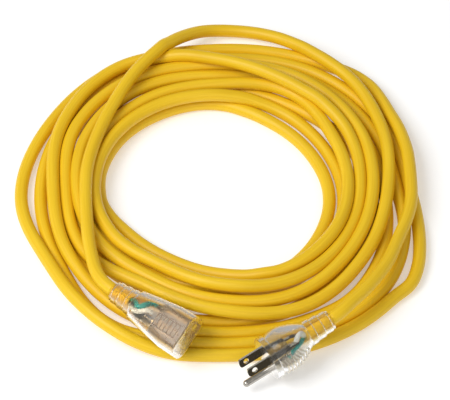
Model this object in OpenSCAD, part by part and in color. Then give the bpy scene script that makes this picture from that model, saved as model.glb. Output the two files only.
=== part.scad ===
// Three-wire 15 A extension lead with clear moulded ends, wound into a loose flat coil.
// The coil lies on z = 0 and is centred on the origin.
// Each moulded end is drawn in its own frame: +X points out of its face, and the cable leaves along -X.

/* [Cable] */
// Outer diameter of the jacket
cable_d = 9.2; // [8.6:0.1:9.6]
// Outer diameter of one insulated conductor
wire_d = 3.0; // [2.8:0.1:3.1]
// Diameter of one bare stranded conductor
strand_d = 1.9; // [1.5:0.1:2.0]

/* [Coil] */
// Radius of the hole in the coil
coil_inner_r = 78; // [70:1:84]
// Radius of the coil's outermost turn, to its outside
coil_outer_r = 141; // [138:0.5:141]
// Radius at which the high inner turns give way to the low outer turns
coil_step_r = 117; // [110:1:118]
// Height of the high inner turns
coil_high = 17; // [16:0.5:17.5]
// Height of the low outer turns
coil_low = 9.4; // [9.2:0.1:10]

/* [Plug] */
// Radius of the flange behind the blades
flange_r = 15.4; // [14.5:0.1:15.6]
// Thickness of the flange
flange_t = 4.6; // [3.5:0.1:5]
// Distance between the two blades' centres
blade_gap = 12.7; // [12.6:0.05:12.8]
// How far the blades stand out of the face
blade_reach = 17.1; // [16:0.1:18.2]
// Width of a blade
blade_w = 6.35; // [6.2:0.05:6.5]
// Thickness of a blade
blade_t = 1.52; // [1.4:0.02:1.6]
// Diameter of the ground pin
pin_d = 4.8; // [4.7:0.02:4.82]
// How far the ground pin stands out of the face
pin_reach = 21.4; // [19:0.1:21.4]
// Distance from the blades' line to the ground pin's axis
ground_offset = 11.9; // [11.8:0.05:12]

/* [Connector] */
// Width of the connector at its face
connector_w = 31; // [30:0.5:32]
// Thickness of the connector at its face
connector_t = 24; // [23.5:0.5:25]
// Length of the connector's body, without its neck
connector_l = 44; // [42:0.5:46]
// Radius of the ground socket's mouth
socket_r = 2.7; // [2.67:0.01:2.75]
// Depth of the ground socket's mouth
socket_depth = 5; // [4:0.5:6]

/* [Hidden] */
$fn = 48;

nothing = 0.01;

// Where the two moulded ends lie: the centre of the face, and its turns about X, then Y, then Z.
plug_at = [34.5, -152.2, 19.9];
plug_turn = [21, 9, 212];
connector_at = [-18, -139.4, 26];
connector_turn = [28, 1.5, -37.5];

// Stations along the plug's axis, behind its face.
plug_body_end = 32;
plug_jacket_x = 32;
plug_neck_end = 51;
plug_crimp_front = 17;
plug_crimp_back = 24;
plug_insulation_x = 26;
plug_wire_start = 44;
// The ground pin is thinner up to here, outside the face.
pin_root = 0.6;

// Stations along the connector's axis, behind its face.
carrier_l = 24;
connector_crimp_front = 25;
connector_crimp_back = 32;
connector_insulation_x = 35;
connector_jacket_x = 49;
connector_wire_start = 56;
connector_neck_end = 62.5;

// Places of the three poles across each end, as [y, z].
plug_line = [-blade_gap / 2, 3];
plug_neutral = [blade_gap / 2, 3];
plug_ground = [0, 3 - ground_offset];
socket_line = [-3.5, blade_gap / 2];
socket_neutral = [-3.5, -blade_gap / 2];
socket_ground = [ground_offset - 3.5, 0];

// The three conductors lie side by side inside the jacket, a hair apart.
lay_r = wire_d / sqrt(3) + 0.25;
crimp_d = 3.6;
// Between a conductor's insulation and the jacket round it.
bore_clearance = 0.1;
// The neck's first ring, where it meets the body.
neck_d = 18;
contact_w = 7.6;
contact_t = 3.4;
contact_gap = 1.4;
contact_front = 3;
contact_back = 21;
ground_contact_back = 23;
ground_contact_d = 7;
lamp_d = 4.2;
lamp_x = [-44, -35];
lamp_at = [-7.4, 0];
lead_d = 0.7;
resistor_d = 2;
resistor_x = [-32.5, -28];
lead_rise = 1.1;

// The plug's tail: off the neck, round the right of the coil on its low turns, then down to the floor.
plug_tail_route = [
    [82.2, -121.9, 28.6], [86.7, -117.6, 28.8], [90.5, -112.7, 28.4], [99, -102.2, 26.6], [107, -90.8, 24.5],
    [118, -71, 21.3], [126, -49, 18], [133, -28, 15.5], [136.5, -10, 14.3], [136, 28, 14.2], [131, 49, 14],
    [124, 72, 12.2], [113, 94, 8.6], [99, 113, 5.6], [81, 128, 4.7]
];
// The connector's tail: over the coil's left side, out behind it to the floor, then back onto the low turns.
connector_tail_route = [
    [-73.1, -96.2, 27.4], [-77.5, -90, 26.8], [-80.6, -83, 26.2], [-85.3, -62, 24.4], [-88, -38, 23.2],
    [-89.5, -14, 22.8], [-89, 10, 22.7], [-85, 33, 22.7], [-78, 56, 23], [-68, 78.8, 24.2],
    [-60.6, 92.8, 24.9], [-52.2, 105.2, 25], [-42.4, 117.4, 24.6], [-31.7, 130, 21.4], [-21.6, 140.4, 17],
    [-10.7, 149, 12.2], [0, 153.4, 8.8], [18.9, 154, 7.3],
    [39.6, 147.8, 9.5], [72.5, 125.7, 13.8], [87, 110, 14.2], [99.3, 95, 14.2]
];
// A low turn that strays from the coil at the right.
side_loop_route = [
    [143.5, -26, 4.7], [142.2, -46.2, 4.7], [139.8, -62.2, 4.7], [134.2, -77.5, 4.7], [121, -91.2, 4.7],
    [105.7, -105.7, 4.7], [90.5, -115, 4.7]
];

// ---- Geometry helpers ----

function rotation(turn) =
    let (cx = cos(turn[0]), sx = sin(turn[0]), cy = cos(turn[1]), sy = sin(turn[1]), cz = cos(turn[2]),
         sz = sin(turn[2]))
    [
        [cz * cy, cz * sy * sx - sz * cx, cz * sy * cx + sz * sx],
        [sz * cy, sz * sy * sx + cz * cx, sz * sy * cx - cz * sx],
        [-sy, cy * sx, cy * cx]
    ];
function placed(at, turn, p) = at + rotation(turn) * p;
function unit(v) = v / norm(v);

module at_plug() translate(plug_at) rotate(plug_turn) children();
module at_connector() translate(connector_at) rotate(connector_turn) children();

// A round bar along X between two stations, at [y, z].
module bar(x0, x1, d, yz = [0, 0]) {
    translate([x0, yz[0], yz[1]]) rotate([0, 90, 0]) cylinder(d = d, h = x1 - x0);
}

// A block between two stations, centred on [y, z].
module block(x0, x1, w, t, yz = [0, 0]) {
    translate([x0, yz[0] - w / 2, yz[1] - t / 2]) cube([x1 - x0, w, t]);
}

// A block with rounded long edges.
module rounded_block(x0, x1, w, t, r) {
    block(x0, x1, w - 2 * r, t);
    block(x0, x1, w, t - 2 * r);
    for (y = [-1, 1], z = [-1, 1]) bar(x0, x1, 2 * r, [y * (w / 2 - r), z * (t / 2 - r)]);
}

// A closed tube swept along a route, one ring to a point.
module tube(route, start, finish, d = cable_d) {
    sides = 10;
    last = len(route) - 1;
    ring_r = d / 2 / sqrt((1 + cos(180 / sides)) / 2);
    function along(i) =
        i == 0 ? unit(start) : i == last ? unit(finish) : unit(route[i + 1] - route[i - 1]);
    function ring(i) =
        let (t = along(i), across = unit(cross(t, [0, 0, 1])), up = cross(across, t))
        [for (k = [0:sides - 1])
            let (a = 360 * k / sides) route[i] + ring_r * (cos(a) * across + sin(a) * up)];
    points = [for (i = [0:last]) each ring(i)];
    skin = [for (i = [0:last - 1], k = [0:sides - 1])
        let (a = i * sides + k, b = i * sides + (k + 1) % sides)
        each [[a, a + sides, b + sides], [a, b + sides, b]]];
    near_cap = [for (k = [0:sides - 1]) k];
    far_cap = [for (k = [sides - 1:-1:0]) last * sides + k];
    polyhedron(points = points, faces = concat(skin, [near_cap, far_cap]));
}

// A round rod between two points.
module rod(a, b, d) {
    run = b - a;
    translate(a) rotate([0, acos(run[2] / norm(run)), atan2(run[1], run[0])]) cylinder(d = d, h = norm(run));
}

// An insulated conductor: straight in the jacket, slanting out to its pole, then straight to its crimp.
module wire(x0, x1, x2, x3, from, to) {
    lap = 0.4;
    stretched_d = 0.94 * wire_d;
    a = [x1, from[0], from[1]];
    b = [x2, to[0], to[1]];
    bar(x0, x1 + lap / 2, wire_d, from);
    rod(a - lap * unit(b - a), b + lap * unit(b - a), stretched_d);
    bar(x2 - lap / 2, x3, wire_d, to);
}

// ---- Cable ----

module cord_coil() {
    edge = 4.6;
    round_r = 7;
    color("gold") rotate_extrude($fn = 96) {
        // high inner turns
        translate([coil_inner_r + round_r, 0])
            square([coil_step_r - coil_inner_r - 2 * round_r, coil_high]);
        translate([coil_inner_r, round_r]) square([coil_step_r - coil_inner_r, coil_high - 2 * round_r]);
        translate([coil_inner_r + round_r, round_r]) circle(r = round_r);
        translate([coil_inner_r + round_r, coil_high - round_r]) circle(r = round_r);
        translate([coil_step_r - round_r, coil_high - round_r]) circle(r = round_r);
        // low outer turns
        translate([coil_step_r - 2 * round_r, 0])
            square([coil_outer_r - edge - coil_step_r + 2 * round_r, coil_low]);
        translate([coil_outer_r - edge, coil_low / 2]) circle(d = coil_low);
    }
}

module cord_side_loop() {
    last = len(side_loop_route) - 1;
    color("gold") tube(side_loop_route, [0.1, -1, 0], side_loop_route[last] - side_loop_route[last - 1]);
}

module plug_tail() {
    neck = placed(plug_at, plug_turn, [-plug_neck_end, 0, 0]);
    route = concat([neck], plug_tail_route);
    last = len(route) - 1;
    color("gold") tube(route, rotation(plug_turn) * [-1, 0, 0], route[last] - route[last - 1]);
}

module connector_tail() {
    neck = placed(connector_at, connector_turn, [-connector_neck_end, 0, 0]);
    route = concat([neck], connector_tail_route);
    last = len(route) - 1;
    color("gold") tube(route, rotation(connector_turn) * [-1, 0, 0], route[last] - route[last - 1]);
}

// Where each conductor lies in the jacket, as [y, z]: line, neutral, then ground.
function plug_lay(i) = let (a = [150, 30, 270][i]) lay_r * [cos(a), sin(a)];
function connector_lay(i) = let (a = [120, 240, 0][i]) lay_r * [cos(a), sin(a)];

// The strain relief: a tapering core with rings round it, thinner towards the cable.
module neck_rings(x_end, x_body) {
    rings = 3;
    gap = 1.4;
    shrink = 2.1;
    pitch = (x_end - x_body) / rings;
    translate([-x_end, 0, 0]) rotate([0, 90, 0])
        cylinder(d1 = cable_d + 2.2, d2 = neck_d - 2.4, h = x_end - x_body + nothing);
    for (i = [0:rings - 1]) bar(-x_body - (i + 1) * pitch, -x_body - i * pitch - gap, neck_d - i * shrink);
}

// ---- Plug ----

// Raised bars for grip, on the side of the ground pin.
module plug_grip_ribs() {
    ribs = 8;
    for (i = [0:ribs - 1]) {
        x = -8 - i * 2.6;
        reach = 14.9 - 0.036 * i * i - 0.12 * i;
        width = 17 - i * 0.8;
        block(x - 1.3, x, width, 4, [0, 2 - reach]);
    }
}

module plug_overmould() {
    color("gainsboro", 0.45) at_plug() difference() {
        union() {
            bar(-flange_t, 0, 2 * flange_r);
            hull() {
                rounded_block(-16, -flange_t, 27, 27, 8, $fn = 32);
                bar(-plug_body_end, -plug_body_end + 1, neck_d, $fn = 32);
            }
            plug_grip_ribs();
            neck_rings(plug_neck_end, plug_body_end);
        }
        plug_bridge_block();
        for (pole = [plug_line, plug_neutral]) blade_blank(pole);
        ground_pin_blank();
        for (i = [0:2]) plug_wire(i);
        bar(-plug_neck_end - 1, -plug_jacket_x, cable_d);
    }
}

module plug_bridge_block() rounded_block(-15, -1.2, 22, 22, 5);

module plug_blade_bridge() {
    color("ivory") at_plug() difference() {
        plug_bridge_block();
        for (pole = [plug_line, plug_neutral]) blade_blank(pole);
        ground_pin_blank();
    }
}

// A blade with no hole: flat blade, narrower shank and round crimp barrel.
module blade_blank(pole) {
    corner = 2;
    translate([0, pole[0], pole[1]]) rotate([90, 0, 0]) translate([0, 0, -blade_t / 2])
        linear_extrude(blade_t) {
            translate([-2, -blade_w / 2]) square([blade_reach + 2 - corner, blade_w]);
            translate([-2, -blade_w / 2 + corner]) square([blade_reach + 2, blade_w - 2 * corner]);
            for (side = [-1, 1])
                translate([blade_reach - corner, side * (blade_w / 2 - corner)]) circle(r = corner);
            translate([-plug_crimp_front - 1, -2.4]) square([plug_crimp_front + 1, 4.8]);
        }
    bar(-plug_crimp_back, -plug_crimp_front, crimp_d, pole);
}

module blade(pole) {
    hole_x = 11.9;
    hole_d = 4;
    difference() {
        blade_blank(pole);
        translate([hole_x, pole[0] + blade_t, pole[1]]) rotate([90, 0, 0])
            cylinder(d = hole_d, h = 2 * blade_t);
        bar(-plug_crimp_back - 1, -plug_crimp_front - 1, strand_d, pole);
    }
}

module plug_line_blade() color("silver") at_plug() blade(plug_line);
module plug_neutral_blade() color("silver") at_plug() blade(plug_neutral);

module ground_pin_blank() {
    shank_d = 4;
    nose = pin_d / 2;
    bar(pin_root, pin_reach - nose, pin_d, plug_ground);
    translate([pin_reach - nose, plug_ground[0], plug_ground[1]]) rotate([0, 90, 0]) rotate_extrude()
        intersection() {
            circle(r = nose);
            square([nose, nose]);
        }
    bar(-plug_crimp_front, pin_root + nothing, shank_d, plug_ground);
    bar(-plug_crimp_back, -plug_crimp_front + nothing, crimp_d, plug_ground);
}

module plug_ground_pin() {
    color("silver") at_plug() difference() {
        ground_pin_blank();
        bar(-plug_crimp_back - 1, -plug_crimp_front - 1, strand_d, plug_ground);
    }
}

module plug_wire(i) {
    poles = [plug_line, plug_neutral, plug_ground];
    wire(-plug_wire_start, -plug_jacket_x + 0.8, -plug_insulation_x, -plug_crimp_back, plug_lay(i), poles[i]);
}

module plug_strands(pole) bar(-plug_crimp_back, -plug_crimp_front - 1, strand_d, pole);

module plug_line_wire() color("black") at_plug() plug_wire(0);
module plug_neutral_wire() color("white") at_plug() plug_wire(1);
module plug_ground_wire() color("teal") at_plug() plug_wire(2);
module plug_line_strands() color("chocolate") at_plug() plug_strands(plug_line);
module plug_neutral_strands() color("chocolate") at_plug() plug_strands(plug_neutral);
module plug_ground_strands() color("chocolate") at_plug() plug_strands(plug_ground);
module plug_jacket_end() {
    color("gold") at_plug() difference() {
        bar(-plug_neck_end, -plug_jacket_x, cable_d);
        for (i = [0:2]) bar(-plug_wire_start, -plug_jacket_x + 1, wire_d + bore_clearance, plug_lay(i));
    }
}

// ---- Connector ----

// Raised bars across both broad faces, for grip.
module connector_grip_ribs() {
    ribs = 7;
    for (i = [0:ribs - 1], side = [-1, 1]) {
        x = -7 - i * 3.4;
        reach = connector_t / 2 + 0.5 - i * 0.28;
        block(x - 1.5, x, 12, 4, [0, side * (reach - 2)]);
    }
}

module connector_overmould() {
    corner = 6;
    shoulder_w = 21;
    shoulder_t = 19;
    color("gainsboro", 0.45) at_connector() difference() {
        union() {
            hull() {
                rounded_block(-12, 0, connector_w, connector_t, corner, $fn = 32);
                rounded_block(-connector_l, -connector_l + 2, shoulder_w, shoulder_t, corner, $fn = 32);
            }
            connector_grip_ribs();
            neck_rings(connector_neck_end, connector_l);
        }
        carrier_block();
        for (pole = [socket_line, socket_neutral, socket_ground]) socket_crimp(pole);
        for (i = [0:2]) connector_wire(i);
        bar(-connector_neck_end - 1, -connector_jacket_x, cable_d);
        lamp_blank();
        resistor_blank();
        link_lead_run();
        line_lead_run();
        neutral_lead_run();
    }
}

module carrier_block() rounded_block(-carrier_l, 1, 24.4, 18.4, 3);

// The rigid insert: slots and ground hole at the face, and a pocket behind each for its contact.
module connector_contact_carrier() {
    line_slot_w = 7;
    neutral_slot_w = 8;
    slot_t = 2.1;
    color("ivory") at_connector() difference() {
        intersection() {
            carrier_block();
            block(-carrier_l, 0, 30, 30);
        }
        block(-contact_front - 1, 1, line_slot_w, slot_t, socket_line);
        block(-contact_front - 1, 1, neutral_slot_w, slot_t, socket_neutral);
        bar(-socket_depth - 1, 1, 2 * socket_r, socket_ground);
        for (pole = [socket_line, socket_neutral]) {
            block(-contact_back, -contact_front, contact_w, contact_t, pole);
            bar(-carrier_l - 1, -contact_back + nothing, crimp_d, pole);
        }
        bar(-ground_contact_back, -socket_depth, ground_contact_d, socket_ground);
        bar(-carrier_l - 1, -ground_contact_back + nothing, crimp_d, socket_ground);
    }
}

module socket_crimp(pole) bar(-connector_crimp_back, -contact_back, crimp_d, pole);

module crimp_bore(pole) bar(-connector_crimp_back - 1, -connector_crimp_front - 1, strand_d, pole);

// A folded brass contact: two leaves that grip the blade, joined at the back to a crimp barrel.
module blade_contact(pole) {
    difference() {
        union() {
            block(-contact_back, -contact_front, contact_w, contact_t, pole);
            socket_crimp(pole);
        }
        block(-contact_back + 2.5, -contact_front - 2, contact_w + 1, contact_gap, pole);
        // flared mouth
        block(-contact_front - 2.5, -contact_front + 1, contact_w + 1, contact_gap + 0.8, pole);
        crimp_bore(pole);
    }
}

module connector_line_contact() color("goldenrod") at_connector() blade_contact(socket_line);
module connector_neutral_contact() color("goldenrod") at_connector() blade_contact(socket_neutral);

// A round brass sleeve, slit so that it can spring open round the pin.
module connector_ground_contact() {
    bore_d = 5;
    slit = 0.8;
    color("goldenrod") at_connector() difference() {
        union() {
            bar(-ground_contact_back, -socket_depth, ground_contact_d, socket_ground);
            socket_crimp(socket_ground);
        }
        bar(-ground_contact_back + 1, 0, bore_d, socket_ground);
        block(-ground_contact_back + 3, 0, 10, slit, socket_ground);
        crimp_bore(socket_ground);
    }
}

module connector_wire(i) {
    poles = [socket_line, socket_neutral, socket_ground];
    wire(-connector_wire_start, -connector_jacket_x, -connector_insulation_x, -connector_crimp_back,
        connector_lay(i), poles[i]);
}

module connector_strands(pole) bar(-connector_crimp_back, -connector_crimp_front - 1, strand_d, pole);

module connector_line_wire() color("black") at_connector() connector_wire(0);
module connector_neutral_wire() color("white") at_connector() connector_wire(1);
module connector_ground_wire() color("teal") at_connector() connector_wire(2);
module connector_line_strands() color("chocolate") at_connector() connector_strands(socket_line);
module connector_neutral_strands() color("chocolate") at_connector() connector_strands(socket_neutral);
module connector_ground_strands() color("chocolate") at_connector() connector_strands(socket_ground);

module connector_jacket_end() {
    color("gold") at_connector() difference() {
        bar(-connector_neck_end, -connector_jacket_x, cable_d);
        for (i = [0:2])
            bar(-connector_wire_start, -connector_jacket_x + 1, wire_d + bore_clearance, connector_lay(i));
    }
}

// ---- Lamp that shows the connector is live ----

module lamp_blank() {
    lamp_r = lamp_d / 2;
    length = lamp_x[1] - lamp_x[0];
    translate([lamp_x[1], lamp_at[0], lamp_at[1]]) rotate([0, -90, 0]) rotate_extrude() {
        square([lamp_r, length - lamp_r]);
        intersection() {
            translate([0, length - lamp_r]) circle(r = lamp_r);
            square([lamp_r, length]);
        }
    }
}

module resistor_blank() bar(resistor_x[0], resistor_x[1], resistor_d, lamp_at + [0, lead_rise]);

// A straight lead from a point in a component to the middle of a crimp barrel.
module lead_to_crimp(x0, x1, from, pole) rod([x0, from[0], from[1]], [x1, pole[0], pole[1]], lead_d);

module link_lead_run() bar(lamp_x[1], resistor_x[0], lead_d, lamp_at + [0, lead_rise]);
module line_lead_run() lead_to_crimp(resistor_x[1] - 0.5, -26.5, lamp_at + [0, lead_rise], socket_line);
module neutral_lead_run() lead_to_crimp(lamp_x[1] - 0.5, -29, lamp_at - [0, lead_rise], socket_neutral);

module connector_lamp() color("orange", 0.6) at_connector() lamp_blank();
module connector_lamp_resistor() color("tan") at_connector() resistor_blank();
module connector_lamp_link_lead() color("silver") at_connector() link_lead_run();
module connector_lamp_line_lead() {
    color("silver") at_connector() difference() {
        line_lead_run();
        resistor_blank();
        socket_crimp(socket_line);
    }
}
module connector_lamp_neutral_lead() {
    color("silver") at_connector() difference() {
        neutral_lead_run();
        lamp_blank();
        socket_crimp(socket_neutral);
    }
}

cord_coil();
cord_side_loop();
plug_tail();
connector_tail();
plug_overmould();
plug_blade_bridge();
plug_line_blade();
plug_neutral_blade();
plug_ground_pin();
plug_line_wire();
plug_neutral_wire();
plug_ground_wire();
plug_line_strands();
plug_neutral_strands();
plug_ground_strands();
plug_jacket_end();
connector_overmould();
connector_contact_carrier();
connector_line_contact();
connector_neutral_contact();
connector_ground_contact();
connector_line_wire();
connector_neutral_wire();
connector_ground_wire();
connector_line_strands();
connector_neutral_strands();
connector_ground_strands();
connector_jacket_end();
connector_lamp();
connector_lamp_resistor();
connector_lamp_link_lead();
connector_lamp_line_lead();
connector_lamp_neutral_lead();
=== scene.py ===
"""Shore power cord: one yellow cable wound into a loose flat coil, with clear moulded ends.

Everything is in metres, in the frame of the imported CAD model. The two ends are drawn in
their own frames: +X points out of the face, and the cable leaves along -X.
"""

import math

import bpy
import numpy as np
from mathutils import Matrix, Vector


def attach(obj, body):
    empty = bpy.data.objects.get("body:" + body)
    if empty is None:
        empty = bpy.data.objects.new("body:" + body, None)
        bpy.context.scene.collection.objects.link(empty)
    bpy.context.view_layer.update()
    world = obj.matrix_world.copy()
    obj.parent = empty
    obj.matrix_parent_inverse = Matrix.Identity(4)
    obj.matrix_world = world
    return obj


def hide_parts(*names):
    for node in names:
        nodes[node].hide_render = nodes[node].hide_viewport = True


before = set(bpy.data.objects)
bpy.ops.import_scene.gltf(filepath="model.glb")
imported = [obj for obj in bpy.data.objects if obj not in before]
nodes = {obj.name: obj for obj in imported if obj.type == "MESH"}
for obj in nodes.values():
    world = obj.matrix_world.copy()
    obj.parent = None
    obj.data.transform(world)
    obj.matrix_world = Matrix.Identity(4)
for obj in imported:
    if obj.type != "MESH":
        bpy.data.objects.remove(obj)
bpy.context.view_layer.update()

MM = 0.001
CABLE_D = 0.0092
# Spacing of the cable's rings: while it is laid, and in the finished tube.
LAYING_STEP = 0.005
RING_STEP = 0.0025

# Where the ends lie: the centre of the face, and its turns about X, then Y, then Z in degrees.
PLUG_AT = (0.0345, -0.1522, 0.0199)
PLUG_TURN = (21, 9, 212)
CONNECTOR_AT = (-0.018, -0.1394, 0.026)
CONNECTOR_TURN = (28, 1.5, -37.5)
PLUG_NECK_END = 0.051
CONNECTOR_NECK_END = 0.0625

# Sizes that both ends share, in mm, and the angle between faces from which an edge is shaded sharp.
NECK_D = 18
WIRE_RADIUS = 1.8
SHARP_ANGLE = math.radians(32)


def placing(at, turn):
    """The matrix that takes a moulded end's own frame to the object's."""
    matrix = Matrix.Translation(at)
    for axis, angle in zip("ZYX", reversed(turn)):
        matrix = matrix @ Matrix.Rotation(math.radians(angle), 4, axis)
    return matrix


plug_place = placing(PLUG_AT, PLUG_TURN)
connector_place = placing(CONNECTOR_AT, CONNECTOR_TURN)


# ---- Camera ----

def add_camera():
    """Long lens from in front and above, as the object was seen."""
    elevation = math.radians(51)
    distance = 1.95
    aim = Vector((0.007, 0, 0))
    data = bpy.data.cameras.new("camera")
    data.sensor_width = 36
    data.lens = 221.2
    camera = bpy.data.objects.new("camera", data)
    camera.location = aim + distance * Vector((0, -math.cos(elevation), math.sin(elevation)))
    camera.rotation_euler = (math.pi / 2 - elevation, 0, 0)
    bpy.context.collection.objects.link(camera)
    bpy.context.scene.camera = camera


add_camera()


# ---- The cable's route ----

# From the plug's neck to the coil's right side.
PLUG_TAIL = [
    (0.0822, -0.1219, 0.0286), (0.0867, -0.1176, 0.0288), (0.0905, -0.1127, 0.0284), (0.099, -0.1022, 0.0266),
    (0.107, -0.0908, 0.0245), (0.118, -0.071, 0.0213), (0.126, -0.049, 0.018), (0.133, -0.028, 0.0155),
    (0.1365, -0.010, 0.0143),
]
# From the floor behind the coil, over its left side, to the connector's neck.
CONNECTOR_TAIL = [
    (-0.0107, 0.149, 0.0122), (-0.0216, 0.1404, 0.017), (-0.0317, 0.130, 0.0214), (-0.0424, 0.1174, 0.0246),
    (-0.0522, 0.1052, 0.025), (-0.0606, 0.0928, 0.0249), (-0.068, 0.0788, 0.0242), (-0.078, 0.056, 0.023),
    (-0.085, 0.033, 0.0227), (-0.089, 0.010, 0.0227), (-0.0895, -0.014, 0.0228), (-0.088, -0.038, 0.0232),
    (-0.0853, -0.062, 0.0244), (-0.0806, -0.083, 0.0262), (-0.0775, -0.090, 0.0268),
    (-0.0731, -0.0962, 0.0274),
]
# The turns between the tails, one row a turn: radius and height of the cable's middle in mm, every
# 30 degrees round the coil. A row starts at -90 degrees, the side of the plug and the connector; the
# first row starts at 30 degrees, and the last one ends at 90.
TURN_STEP = 30
FIRST_ANGLE = 12
POINT_STEP = 6
TURNS = [
    ([143, 145.6, 137.3, 138.5, 135.5, 136, 129.5, 139], [9, 4.6, 4.6, 4.6, 4.6, 4.6, 11, 13.8]),
    ([138, 145.5, 155, 138, 138, 135.8, 128.3, 129.5, 125.5, 123, 124.5, 134],
     [4.6, 4.6, 4.6, 4.6, 4.6, 4.6, 4.6, 4.6, 4.6, 4.6, 4.6, 4.6]),
    ([128.8, 136, 141.5, 129.5, 128.5, 126.5, 119.3, 120.5, 116.5, 111, 108.7, 112],
     [4.6, 4.6, 4.6, 4.6, 4.6, 4.6, 4.6, 4.6, 4.6, 4.6, 4.6, 4.6]),
    ([110, 113, 112, 110, 105, 99.6, 100, 101, 99, 93, 97, 95],
     [4.6, 4.6, 4.6, 4.6, 4.6, 4.6, 4.6, 4.6, 4.6, 4.6, 4.6, 4.6]),
    ([91, 84, 81.5, 80.5, 78.5, 80.1, 86.6, 86.8, 87.1, 84.4, 71, 66.5],
     [4.6, 4.6, 4.6, 4.6, 4.6, 4.6, 4.6, 4.6, 4.6, 4.6, 4.6, 4.6]),
    ([71.6, 86.5, 91.5, 94, 97, 105, 96.5, 97, 96, 93, 88, 84],
     [4.6, 10, 13.8, 13.8, 13.8, 12.6, 13.8, 13.8, 13, 9, 9, 6]),
    ([86, 94, 92.5, 90.5, 88.5, 89, 84, 87, 89, 88, 84.5, 79],
     [9, 6, 4.6, 4.6, 4.6, 4.6, 13.8, 13.8, 13, 13, 13.8, 13.8]),
    ([87.6, 96, 98.5, 101.5, 106, 103, 112, 131.5, 124, 112.7, 115.5, 120],
     [17, 14, 10, 10, 13, 20, 20, 13.8, 13.8, 12.6, 12.6, 9]),
    ([119.5, 126, 128, 120.5, 119, 117.3, 107, 108.9, 104, 99, 94, 91],
     [4.6, 4.6, 4.6, 4.6, 4.6, 4.6, 12.6, 12.6, 13, 13, 13.8, 15]),
    ([99, 107.5, 108, 110.8, 116, 119, 118, 119.5, 113.5, 102, 105, 99],
     [17, 15, 14, 13.8, 13.8, 13.8, 12.6, 12.6, 12.6, 9, 9, 16]),
    ([108.2, 119.4, 118.8, 121.5, 133.5, 145, 153.4], [19, 15, 13.8, 13.8, 13, 13.8, 8.8]),
]
# Places between those stations where the cable turns more sharply: turn, angle, radius and height.
BETWEEN = [
    (0, 12, 138.3, 13.8), (0, 45, 151, 5.2), (0, 75, 140.6, 4.6), (0, 225, 134, 13.8),
    (0, 248, 140.5, 11), (0, 257, 139.5, 6), (1, -45, 149.5, 4.6), (1, -37, 151, 4.6),
    (1, -24, 153, 4.6), (1, -14, 146, 4.6), (1, 255, 130, 4.6),
    (2, -45, 140.5, 4.6), (2, -38, 142, 4.6), (2, -20, 138.5, 4.6), (2, -10, 134.5, 4.6),
    (8, -45, 130, 4.6), (10, 45, 140.5, 13.8), (10, 75, 153, 9.5), (10, 83, 155.2, 7.3),
]


def hermite(where, stations, values):
    """A smooth curve through the values at the stations, read at where."""
    slope = np.gradient(values, stations, axis=0)
    i = np.clip(np.searchsorted(stations, where, side="right") - 1, 0, len(stations) - 2)
    span = stations[i + 1] - stations[i]
    t = (where - stations[i]) / span
    if values.ndim == 2:
        span = span[:, None]
        t = t[:, None]
    start = (2 * t**3 - 3 * t**2 + 1) * values[i] + (t**3 - 2 * t**2 + t) * span * slope[i]
    end = (3 * t**2 - 2 * t**3) * values[i + 1] + (t**3 - t**2) * span * slope[i + 1]
    return start + end


def even_curve(points, step):
    """Points a step apart on a smooth curve through the given ones."""
    points = np.asarray(points, float)
    stations = np.r_[0, np.cumsum(np.sqrt(np.linalg.norm(np.diff(points, axis=0), axis=1)))]
    fine = hermite(np.linspace(0, stations[-1], 12 * len(points)), stations, points)
    along = np.r_[0, np.cumsum(np.linalg.norm(np.diff(fine, axis=0), axis=1))]
    wanted = np.linspace(0, along[-1], int(round(along[-1] / step)) + 1)
    return np.stack([np.interp(wanted, along, fine[:, k]) for k in range(3)], axis=1)


def coil_points():
    """The coil's turns, from the end of one tail to the start of the other."""
    radii = np.concatenate([radius for radius, _ in TURNS])
    heights = np.concatenate([height for _, height in TURNS])
    angles = TURN_STEP * (1 + np.arange(len(radii)))
    stations = list(zip(angles, radii, heights))
    stations += [(360 * turn + angle, radius, height) for turn, angle, radius, height in BETWEEN]
    angles, radii, heights = np.array(sorted(stations), float).T
    where = np.arange(FIRST_ANGLE, angles[-1] + 0.1, POINT_STEP)
    radius = MM * hermite(where, angles, radii)
    height = MM * hermite(where, angles, heights)
    turned = np.radians(where)
    return np.stack([radius * np.cos(turned), radius * np.sin(turned), height], axis=1)


def blurred(values, reach):
    """Values averaged twice along the cable over reach rings each way."""
    width = 2 * reach + 1
    for _ in range(2):
        padded = np.vstack([np.repeat(values[:1], reach, 0), values, np.repeat(values[-1:], reach, 0)])
        total = np.cumsum(np.vstack([np.zeros((1, 3)), padded]), axis=0)
        values = (total[width:] - total[:-width]) / width
    return values


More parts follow.
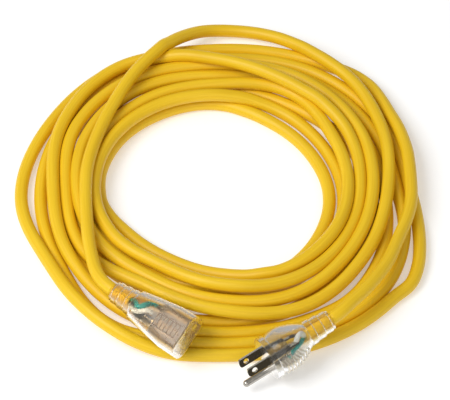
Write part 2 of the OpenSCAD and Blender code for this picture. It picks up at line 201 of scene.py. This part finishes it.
def settle(target):
    """Lets the cable rest: turns that would cut into each other push apart, and all sink to the floor.

    The ends stay where the moulded ends hold them, and every turn stays near its own route.
    """
    passes = 260
    final_passes_from = 0.8 * passes
    held_rings = 5
    easing_rings = 6
    neighbour_rings = 20
    reach = CABLE_D + 0.007
    passes_per_search = 8
    pushes_per_pass = 3
    blur_rings = 3
    overshoot = 1.4
    sink = 0.00006
    pull_back = np.array([0.03, 0.03, 0.015])
    count = len(target)
    ring = np.arange(count)
    free = np.clip((np.minimum(ring, count - 1 - ring) - held_rings) / easing_rings, 0, 1)[:, None]
    along = np.gradient(target, axis=0)
    along /= np.linalg.norm(along, axis=1)[:, None]
    shift = np.zeros_like(target)
    for step in range(passes):
        points = target + shift
        if step % passes_per_search == 0:
            square = sum((points[:, None, k] - points[None, :, k]) ** 2 for k in range(3))
            first, second = np.nonzero(np.triu(square < reach ** 2, neighbour_rings))
        for _ in range(pushes_per_pass):
            apart = points[first] - points[second]
            gap = np.linalg.norm(apart, axis=1) + 1e-9
            touching = gap < CABLE_D
            push = apart[touching] / gap[touching, None] * (CABLE_D - gap[touching])[:, None] / 2
            moved = np.zeros_like(points)
            hits = np.zeros(count)
            for pair, sign in ((first[touching], 1), (second[touching], -1)):
                np.add.at(moved, pair, sign * push)
                np.add.at(hits, pair, 1)
            moved -= along * np.sum(moved * along, axis=1)[:, None]
            points = points + overshoot * free * moved / np.maximum(hits, 1)[:, None]
            points[:, 2] = np.maximum(points[:, 2], CABLE_D / 2)
        shift = points - target
        last_passes = step > final_passes_from
        if not last_passes:
            shift = shift * (1 - pull_back)
            shift[:, 2] -= sink * free[:, 0]
        mix = 0.25 if last_passes else 0.6
        shift = (1 - mix) * shift + mix * blurred(shift, blur_rings) * free
    points = target + shift
    points[:, 2] = np.maximum(points[:, 2], CABLE_D / 2)
    return points


def neck_point(place, neck_end):
    """The point on a moulded end's axis where the cable leaves its neck."""
    return tuple(place @ Vector((-neck_end, 0, 0)))


def cable_path():
    """The middle of the cable from the plug's neck to the connector's, ring by ring."""
    route = [neck_point(plug_place, PLUG_NECK_END)]
    route += PLUG_TAIL
    route += [tuple(point) for point in coil_points()]
    route += CONNECTOR_TAIL
    route += [neck_point(connector_place, CONNECTOR_NECK_END)]
    rested = settle(even_curve(route, LAYING_STEP))
    return even_curve(rested, RING_STEP)


# ---- Mesh helpers ----

def new_object(name, points, faces, material, uvs=None):
    """A smooth-shaded mesh object that belongs to the object."""
    mesh = bpy.data.meshes.new(name)
    mesh.from_pydata([tuple(p) for p in points], [], faces)
    mesh.shade_smooth()
    if uvs is not None:
        layer = mesh.uv_layers.new(name="UVMap")
        loops = np.empty(len(mesh.loops), dtype=np.int32)
        mesh.loops.foreach_get("vertex_index", loops)
        layer.data.foreach_set("uv", np.asarray(uvs, dtype=np.float32)[loops].ravel())
    mesh.materials.append(material)
    made = bpy.data.objects.new(name, mesh)
    bpy.context.collection.objects.link(made)
    return made


def sweep(path, radii, sides):
    """Points and faces of a closed round tube along the path, with no twist between its rings."""
    path = np.asarray(path, float)
    along = np.gradient(path, axis=0)
    along /= np.linalg.norm(along, axis=1)[:, None]
    side = np.cross(along[0], (0, 0, 1.0))
    if np.linalg.norm(side) < 0.1:
        side = np.cross(along[0], (0, 1.0, 0))
    angles = 2 * math.pi * np.arange(sides) / sides
    rings = []
    for point, forward, radius in zip(path, along, np.broadcast_to(radii, len(path))):
        side = side - forward * (side @ forward)
        side = side / np.linalg.norm(side)
        up = np.cross(side, forward)
        rings.append(point + radius * (np.cos(angles)[:, None] * side + np.sin(angles)[:, None] * up))
    return np.concatenate(rings), skin_faces(len(path), sides)


def skin_faces(rings, sides):
    """Faces of a skin over rings of points, closed at both ends."""
    faces = []
    for i in range(rings - 1):
        for k in range(sides):
            a = i * sides + k
            b = i * sides + (k + 1) % sides
            faces.append((a, b, b + sides, a + sides))
    faces.append(tuple(reversed(range(sides))))
    faces.append(tuple(range((rings - 1) * sides, rings * sides)))
    return faces


def outline(width, thickness, corner, roundness, per_corner):
    """A rectangle's outline with its corners cut: rounded at roundness 1, nearly straight at 0."""
    points = []
    for quarter in range(4):
        sign_y = (1, -1, -1, 1)[quarter]
        sign_z = (1, 1, -1, -1)[quarter]
        for k in range(per_corner):
            t = k / (per_corner - 1)
            if quarter % 2:
                t = 1 - t
            angle = t * math.pi / 2
            arc = (math.cos(angle), math.sin(angle))
            chord = (1 - t, t)
            cut = [roundness * a + (1 - roundness) * c for a, c in zip(arc, chord)]
            y = width / 2 - corner + corner * cut[0]
            z = thickness / 2 - corner + corner * cut[1]
            points.append((sign_y * y, sign_z * z))
    return points


def loft(name, stations, place, material, roundness=1.0, per_corner=10):
    """A closed body through outlines at stations (x, width, thickness, corner), in mm."""
    points = []
    for x, width, thickness, corner in stations:
        for y, z in outline(width, thickness, corner, roundness, per_corner):
            points.append(place @ (MM * Vector((x, y, z))))
    made = new_object(name, points, skin_faces(len(stations), 4 * per_corner), material)
    made.data.set_sharp_from_angle(angle=SHARP_ANGLE)
    return made


def rods(name, paths, radius, place, material, sides=14, step=0.6):
    """Round rods through lists of points in a moulded end's own frame, in mm, as one object."""
    verts = []
    faces = []
    for points in paths:
        more, skin = sweep(even_curve(points, step), radius, sides)
        faces += [tuple(i + len(verts) for i in face) for face in skin]
        verts += [place @ (MM * Vector(v)) for v in more]
    return new_object(name, verts, faces, material)


def claim(piece, slot, *replaced):
    """Gives a piece to the object's one body and hides the CAD nodes that it stands for. The slot is not
    used.
    """
    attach(piece, "root")
    if replaced:
        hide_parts(*replaced)
    return piece


# ---- Materials ----

class Nodes:
    """A node material in the making, with its Principled shader."""

    def __init__(self, name, roughness, **inputs):
        self.material = bpy.data.materials.new(name)
        self.material.use_nodes = True
        self.tree = self.material.node_tree
        self.shader = self.tree.nodes["Principled BSDF"]
        self.shader.inputs["Roughness"].default_value = roughness
        for label, value in inputs.items():
            self.shader.inputs[label.replace("_", " ")].default_value = value

    def add(self, kind, **settings):
        node = self.tree.nodes.new(kind)
        for label, value in settings.items():
            if hasattr(node, label):
                setattr(node, label, value)
            else:
                node.inputs[label.replace("_", " ")].default_value = value
        return node

    def link(self, output, socket):
        self.tree.links.new(output, socket)

    def noise(self, scale, detail=3, stretch=(1, 1, 1), source="Object"):
        """Noise over the object's own coordinates, or over UV."""
        coords = self.add("ShaderNodeTexCoord")
        mapping = self.add("ShaderNodeMapping", Scale=stretch)
        texture = self.add("ShaderNodeTexNoise", Scale=scale, Detail=detail)
        self.link(coords.outputs[source], mapping.inputs["Vector"])
        self.link(mapping.outputs["Vector"], texture.inputs["Vector"])
        return texture.outputs["Fac"]

    def ramp(self, factor, stops):
        """A colour ramp over the factor: stops are (place, colour)."""
        node = self.add("ShaderNodeValToRGB")
        elements = node.color_ramp.elements
        elements[0].position, elements[0].color = stops[0][0], (*stops[0][1], 1)
        elements[1].position, elements[1].color = stops[-1][0], (*stops[-1][1], 1)
        for place, colour in stops[1:-1]:
            made = elements.new(place)
            made.color = (*colour, 1)
        self.link(factor, node.inputs["Fac"])
        return node.outputs["Color"]

    def colour(self, factor, stops):
        self.link(self.ramp(factor, stops), self.shader.inputs["Base Color"])

    def vary_roughness(self, factor, low, high):
        spread = self.add("ShaderNodeMapRange")
        spread.inputs["To Min"].default_value = low
        spread.inputs["To Max"].default_value = high
        self.link(factor, spread.inputs["Value"])
        self.link(spread.outputs["Result"], self.shader.inputs["Roughness"])

    def bump(self, height, strength, distance):
        node = self.add("ShaderNodeBump", Strength=strength, Distance=distance)
        self.link(height, node.inputs["Height"])
        self.link(node.outputs["Normal"], self.shader.inputs["Normal"])


def yellow_jacket():
    """Satin PVC: even yellow, with faint lengthwise drag marks and a fine orange peel."""
    made = Nodes("yellow_jacket", 0.44, Specular_IOR_Level=0.36)
    drags = made.noise(3, 4, (7, 0.22, 1), "UV")
    made.colour(drags, [(0.25, (0.77, 0.47, 0.006)), (0.55, (0.84, 0.54, 0.012)), (0.8, (0.90, 0.60, 0.022))])
    made.vary_roughness(made.noise(420, 5), 0.36, 0.52)
    made.bump(made.noise(1500, 3), 0.12, 0.0003)
    return made.material


def clear_pvc(name, tint, roughness, ior=1.25, clearness=1.0, neck=None):
    """Clear flexible PVC, a little cloudy and ripply from its mould.

    Round the cable it is painted yellow, a painted stand-in for the jacket seen through the clear neck:
    neck is the end's place and the distance behind its face where that starts.
    """
    made = Nodes(
        name, roughness, Transmission_Weight=clearness, IOR=ior, Coat_Weight=0.5, Coat_Roughness=0.12)
    cloud = made.ramp(made.noise(160, 3), [(0.3, tint), (0.75, tuple(min(1, 1.05 * c) for c in tint))])
    if neck is not None:
        place, start = neck
        blend = 0.002
        axis = place.to_3x3() @ Vector((-1, 0, 0))
        along = made.add("ShaderNodeVectorMath", operation="DOT_PRODUCT")
        along.inputs[1].default_value = axis
        made.link(made.add("ShaderNodeTexCoord").outputs["Object"], along.inputs[0])
        from_face = axis @ place.translation
        spread = made.add("ShaderNodeMapRange")
        spread.inputs["From Min"].default_value = from_face + start - blend
        spread.inputs["From Max"].default_value = from_face + start + blend
        made.link(along.outputs["Value"], spread.inputs["Value"])
        # Painted see-through: past that distance the clear PVC is tinted yellow to stand in for the jacket
        # inside it.
        painted_see_through = made.ramp(spread.outputs["Result"], [(0.0, (1, 1, 1)), (1.0, (1.12, 1.0, 0.52))])
        mix = made.add("ShaderNodeMix", data_type="RGBA", blend_type="MULTIPLY")
        mix.inputs["Factor"].default_value = 1
        made.link(cloud, mix.inputs["A"])
        made.link(painted_see_through, mix.inputs["B"])
        cloud = mix.outputs["Result"]
    made.link(cloud, made.shader.inputs["Base Color"])
    made.vary_roughness(made.noise(300, 4), roughness * 0.6, roughness * 1.5)
    made.bump(made.noise(260, 3), 0.25, 0.0004)
    return made.material


def moulded(name, colour, roughness=0.5, mottle=0.12, **inputs):
    """Opaque plastic or rubber with a slight mottle."""
    made = Nodes(name, roughness, **inputs)
    dark = tuple(c * (1 - mottle) for c in colour)
    made.colour(made.noise(700, 4), [(0.3, dark), (0.7, colour)])
    made.vary_roughness(made.noise(900, 4), roughness - 0.08, roughness + 0.1)
    made.bump(made.noise(1400, 3), 0.15, 0.0002)
    return made.material


def metal(name, colour, roughness, grain, shaded_side=None):
    """Stamped or plated metal with rubbed streaks, and painted shade: faces that lie along the given side are
    painted near black.
    """
    made = Nodes(name, roughness, Metallic=1.0)
    streaks = made.noise(grain, 5, (1, 6, 6))
    dark = tuple(0.72 * c for c in colour)
    shade = made.ramp(streaks, [(0.3, dark), (0.6, colour)])
    if shaded_side is not None:
        facing = made.add("ShaderNodeVectorMath", operation="DOT_PRODUCT")
        facing.inputs[1].default_value = shaded_side
        made.link(made.add("ShaderNodeNewGeometry").outputs["Normal"], facing.inputs[0])
        size = made.add("ShaderNodeMath", operation="ABSOLUTE")
        made.link(facing.outputs["Value"], size.inputs[0])
        # Painted shade: faces whose normal lies along the given side turn near black, and only the edges keep
        # the metal's colour.
        painted_dark_faces = made.ramp(size.outputs["Value"], [(0.8, (1, 1, 1)), (0.97, (0.055, 0.046, 0.034))])
        mix = made.add("ShaderNodeMix", data_type="RGBA", blend_type="MULTIPLY")
        mix.inputs["Factor"].default_value = 1
        made.link(shade, mix.inputs["A"])
        made.link(painted_dark_faces, mix.inputs["B"])
        shade = mix.outputs["Result"]
    made.link(shade, made.shader.inputs["Base Color"])
    made.vary_roughness(streaks, roughness * 0.7, roughness * 1.6)
    made.bump(made.noise(grain * 3, 3), 0.1, 0.0002)
    return made.material


jacket = yellow_jacket()
plug_clear = clear_pvc("plug_clear_pvc", (0.77, 0.755, 0.69), 0.22, 1.25, 0.97, (plug_place, 0.031))
# The PVC's faint warmth is its own; the deeper beige is painted, standing in for the yellow coil seen through
# the clear body.
connector_clear = clear_pvc(
    "connector_clear_pvc", (0.81, 0.72, 0.56), 0.28, 1.25, 0.96, (connector_place, 0.046))
plug_rib_clear = clear_pvc("plug_rib_pvc", (0.80, 0.72, 0.56), 0.35, 1.3, 0.25)
# The raised bars are the same clear PVC as the connector's body; their dark brown, mostly opaque tint is
# painted shade.
connector_rib_shaded_pvc = clear_pvc("connector_rib_pvc_painted_shade", (0.40, 0.29, 0.19), 0.35, 1.3, 0.3)
bridge_clear = clear_pvc("bridge_plastic", (0.90, 0.88, 0.84), 0.22, 1.12)
carrier_smoke = moulded("carrier_plastic", (0.70, 0.59, 0.46), 0.3, Transmission_Weight=0.75, IOR=1.15)
nickel = metal("nickel_plate", (0.50, 0.47, 0.42), 0.2, 300)
# The blades' broad faces lie along this side, and their metal paints them near black as painted shade.
blade_side = tuple(plug_place.to_3x3() @ Vector((0, 1, 0)))
shade_painted_nickel = metal("nickel_painted_face_shade", (0.80, 0.76, 0.66), 0.22, 300, blade_side)
brass = metal("contact_brass", (0.62, 0.44, 0.20), 0.34, 300)
black_wire = moulded("black_insulation", (0.018, 0.018, 0.018), 0.42)
white_wire = moulded("white_insulation", (0.86, 0.86, 0.83), 0.42)
teal_wire = moulded("green_insulation", (0.0, 0.36, 0.34), 0.42)
crimp_tin = metal("crimp_tin", (0.20, 0.18, 0.16), 0.32, 300)
copper = metal("copper_strand", (0.80, 0.40, 0.20), 0.35, 900)
lamp_glass = moulded("lamp_glass", (0.90, 0.86, 0.78), 0.2)
resistor_tan = moulded("resistor_lacquer", (0.62, 0.50, 0.32), 0.35)
tinned = metal("tinned_lead", (0.78, 0.78, 0.76), 0.3, 600)

# The material and the record's slot of each kind of CAD node that is kept, found by its name's end.
KEPT_LOOKS = [
    ("blade_bridge", bridge_clear, "insert"),
    ("contact_carrier", carrier_smoke, "insert"),
    ("_blade", shade_painted_nickel, "plated_brass"),
    ("ground_pin", nickel, "plated_brass"),
    ("_contact", brass, "brass"),
    ("line_wire", black_wire, "line_insulation"),
    ("neutral_wire", white_wire, "neutral_insulation"),
    ("ground_wire", teal_wire, "ground_insulation"),
    ("_strands", copper, "copper"),
    ("jacket_end", jacket, "jacket"),
    ("_lamp", lamp_glass, "lamp_glass"),
    ("_resistor", resistor_tan, "resistor_body"),
    ("_lead", tinned, "lead_wire"),
]


def dress_cad_nodes():
    """Gives every CAD node that stays in view its material."""
    for name, node in nodes.items():
        for ending, material, slot in KEPT_LOOKS:
            if name.endswith(ending):
                node.data.materials.clear()
                node.data.materials.append(material)
                break


dress_cad_nodes()


# ---- The cable ----

def add_cable():
    """The whole cable as one tube, with UVs that run round it and along it."""
    sides = 20
    path = cable_path()
    points, faces = sweep(path, CABLE_D / 2, sides)
    around = np.tile(np.arange(sides) / sides, len(path))
    along = np.repeat(np.arange(len(path)) * RING_STEP / (math.pi * CABLE_D), sides)
    made = new_object("cable", points, faces, jacket, np.stack([around, along], axis=1))
    return made, path


cable, route_path = add_cable()
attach(cable, "root")
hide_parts("cord_coil", "cord_side_loop", "plug_tail", "connector_tail")


# ---- The moulded ends ----

def neck_stations(x_body, x_end, neck_d, rings=3, gap=1.4, shrink=1.3):
    """Stations of the strain relief: rings that shrink towards the cable, with grooves between."""
    groove = 0.7
    pitch = (x_end - x_body) / rings
    edge = 0.5
    stations = []
    for i in range(rings):
        ring_d = neck_d - i * shrink
        start = -x_body - i * pitch
        stop = start - pitch + gap
        core_d = ring_d - shrink / 2 - groove
        for x, d in ((start, ring_d - 2 * edge), (start - edge, ring_d), (stop + edge, ring_d),
                     (stop, ring_d - 2 * edge), (stop - 0.1, core_d), (stop - gap + 0.1, core_d)):
            stations.append((x, d, d, d / 2))
    stations.append((-x_end, core_d, core_d, core_d / 2))
    return stations


def add_plug():
    """The clear plug: flange, swelling body, ringed neck, and grip ribs on the ground pin's side."""
    body = [
        (0, 30.0, 30.0, 15.0), (-0.4, 30.8, 30.8, 15.4), (-4.2, 30.8, 30.8, 15.4), (-4.6, 30.2, 30.2, 15.1),
        (-4.7, 26.4, 26.4, 12.5), (-8, 27.4, 27.4, 11), (-13, 28, 28, 10), (-18, 27, 27, 10),
        (-24, 23.8, 23.8, 9.6), (-29, 20, 20, 9.4), (-31.5, 18, 18, 9),
    ]
    shell = loft("plug_shell", body + neck_stations(32, 51, NECK_D), plug_place, plug_clear)
    claim(shell, "clear_body", "plug_overmould")
    rib_count = 8
    rib_radius = 0.75
    pitch = 2.6
    proud = 0.25
    ribs = []
    for i in range(rib_count):
        x = -8.6 - i * pitch
        half = np.interp(-x, [8, 13, 18, 24, 29], [13.7, 14, 13.5, 11.9, 10]) + proud
        corner = np.interp(-x, [8, 18, 29], [11, 10, 9.4])
        rib = []
        for angle in np.radians(np.linspace(-150, -12, 13)):
            y, z = math.cos(angle), math.sin(angle)
            flat = half - corner
            side = flat * max(-1, min(1, 2 * y)) + corner * y
            rise = flat * max(-1, min(1, 2 * z)) + corner * z
            rib.append((x, side, rise))
        ribs.append(rib)
    claim(rods("plug_ribs", ribs, rib_radius, plug_place, plug_rib_clear), "clear_body")


# Each conductor's way from the jacket's end to its crimp, in its moulded end's own frame, in mm.
PLUG_WIRES = [
    ("line", black_wire, [
        (-35, -1.7, 1), (-31, -2.2, 1.2), (-28, -4.4, 2.4), (-25.5, -6, 3), (-23.6, -6.35, 3),
    ]),
    ("neutral", white_wire, [
        (-35, 1.7, 1), (-31.5, 2, 1.8), (-29.5, 3.6, 5), (-27, 5, 7.6), (-24.4, 6.2, 7.2), (-22.8, 6.4, 4.6),
    ]),
    ("ground", teal_wire, [
        (-35, 0, -2), (-31, 0.8, -2), (-28, 3.8, -1.8), (-23.5, 6.2, -1.8), (-19.4, 6.6, -3.2),
        (-16.6, 5.6, -6.6), (-15.6, 3.2, -8.8),
    ]),
]
CONNECTOR_WIRES = [
    ("line", black_wire, [
        (-52, -1, 1.7), (-48, -1.6, 1.9), (-44, -4.8, 2.2), (-40, -6.6, 3.4), (-36, -5.6, 5.4),
        (-33.4, -3.7, 6.3), (-31.6, -3.5, 6.35),
    ]),
    ("neutral", white_wire, [
        (-52, -1, -1.7), (-48, -1.4, -1), (-44.5, -3.6, 4), (-40.6, -4, 6.6), (-36.4, -2.4, 7.4),
        (-32.6, 0.6, 7.4), (-29.8, 1.4, 5), (-29.6, -0.6, -2), (-31.4, -3.3, -6),
    ]),
    ("ground", teal_wire, [
        (-52, 2, 0), (-47.5, 2, 0.6), (-44, 1, 4), (-41.2, -0.2, 6.2), (-38.6, 0.2, 7.2),
        (-36.8, 2.6, 6.8), (-36.2, 5.4, 4.4), (-34.6, 7.6, 1.6), (-31.6, 8.4, 0),
    ]),
]


def add_wires(end, place, wires):
    """The three insulated conductors, from the jacket's end to their crimps."""
    made = []
    for pole, material, points in wires:
        wire = rods(f"{end}_{pole}_bend", [points], WIRE_RADIUS, place, material)
        made.append(claim(wire, f"{pole}_insulation", f"{end}_{pole}_wire"))
    return made


def add_connector():
    """The clear connector: a flat tapering block with bevelled edges, a ringed neck and raised bars."""
    body = [
        (0, 29.6, 22.6, 5.4), (-0.7, 31, 24, 6), (-12, 31, 24, 6), (-42, 22, 19.6, 6),
        (-44, 20.4, 18.8, 7), (-44.6, 18, 18, 9),
    ]
    shell = loft(
        "connector_shell", body + neck_stations(45, 62.5, NECK_D), connector_place, connector_clear,
        roundness=0.55)
    claim(shell, "clear_body", "connector_overmould")
    rungs = 7
    bar_radius = 0.42
    pitch = 3
    straight = 12
    taper = 0.073
    left, right = -5.4, 4.2
    bars = []
    for i in range(rungs):
        x = -4.4 - i * pitch
        for side in (-1, 1):
            z = side * (12 - max(0, -x - straight) * taper)
            bars.append([(x, y, z) for y in (left, -1.8, 1.8, right)])
    for y in (left, right):
        bars.append([(x, y, 12.1 - max(0, -x - straight) * taper) for x in (-4.4, -10, -16, -22.4)])
    ribs = rods("connector_ribs", bars, bar_radius, connector_place, connector_rib_shaded_pvc, sides=8)
    return [shell, claim(ribs, "clear_body")]


def add_crimp_teeth():
    """The serrated barrels that hold the conductors behind the contacts."""
    radius = 2.4
    half = 0.35
    barrels = []
    for y, z in ((-3.5, 6.35), (-3.5, -6.35), (8.4, 0)):
        for x in np.arange(-31, -25, 1.5):
            barrels.append([(x - half, y, z), (x, y, z), (x + half, y, z)])
    teeth = rods("connector_crimp_teeth", barrels, radius, connector_place, crimp_tin, step=half)
    return claim(teeth, "brass")


add_plug()
add_wires("plug", plug_place, PLUG_WIRES)
connector_pieces = add_connector() + add_wires("connector", connector_place, CONNECTOR_WIRES)
connector_pieces.append(add_crimp_teeth())


# ---- Floor and light ----

def add_floor():
    """A wide pale floor."""
    size = 6
    mesh = bpy.data.meshes.new("floor")
    corners = [(-size, -size, 0), (size, -size, 0), (size, size, 0), (-size, size, 0)]
    mesh.from_pydata(corners, [], [(0, 1, 2, 3)])
    made = Nodes("floor_white", 0.7, Base_Color=(0.82, 0.82, 0.82, 1), Specular_IOR_Level=0.2,
                 Emission_Color=(1, 1, 1, 1), Emission_Strength=0.3)
    mesh.materials.append(made.material)
    floor = bpy.data.objects.new("floor", mesh)
    bpy.context.collection.objects.link(floor)


def add_area_light(name, at, size, power):
    """A soft square lamp that faces the coil."""
    data = bpy.data.lights.new(name, "AREA")
    data.size = size
    data.energy = power
    lamp = bpy.data.objects.new(name, data)
    lamp.location = at
    lamp.rotation_euler = (-Vector(at)).to_track_quat("-Z", "Y").to_euler()
    bpy.context.collection.objects.link(lamp)


def add_lights():
    """A bright even surround, a large soft key from the upper left and a weak fill."""
    world = bpy.data.worlds.new("studio")
    world.use_nodes = True
    world.node_tree.nodes["Background"].inputs["Color"].default_value = (1, 1, 1, 1)
    world.node_tree.nodes["Background"].inputs["Strength"].default_value = 0.42
    bpy.context.scene.world = world
    add_area_light("key", (-1.0, -0.45, 1.45), 1.1, 23)
    add_area_light("fill", (0.3, -1.5, 1.0), 1.0, 4)
    bpy.context.scene.view_settings.view_transform = "Standard"


add_floor()
add_lights()
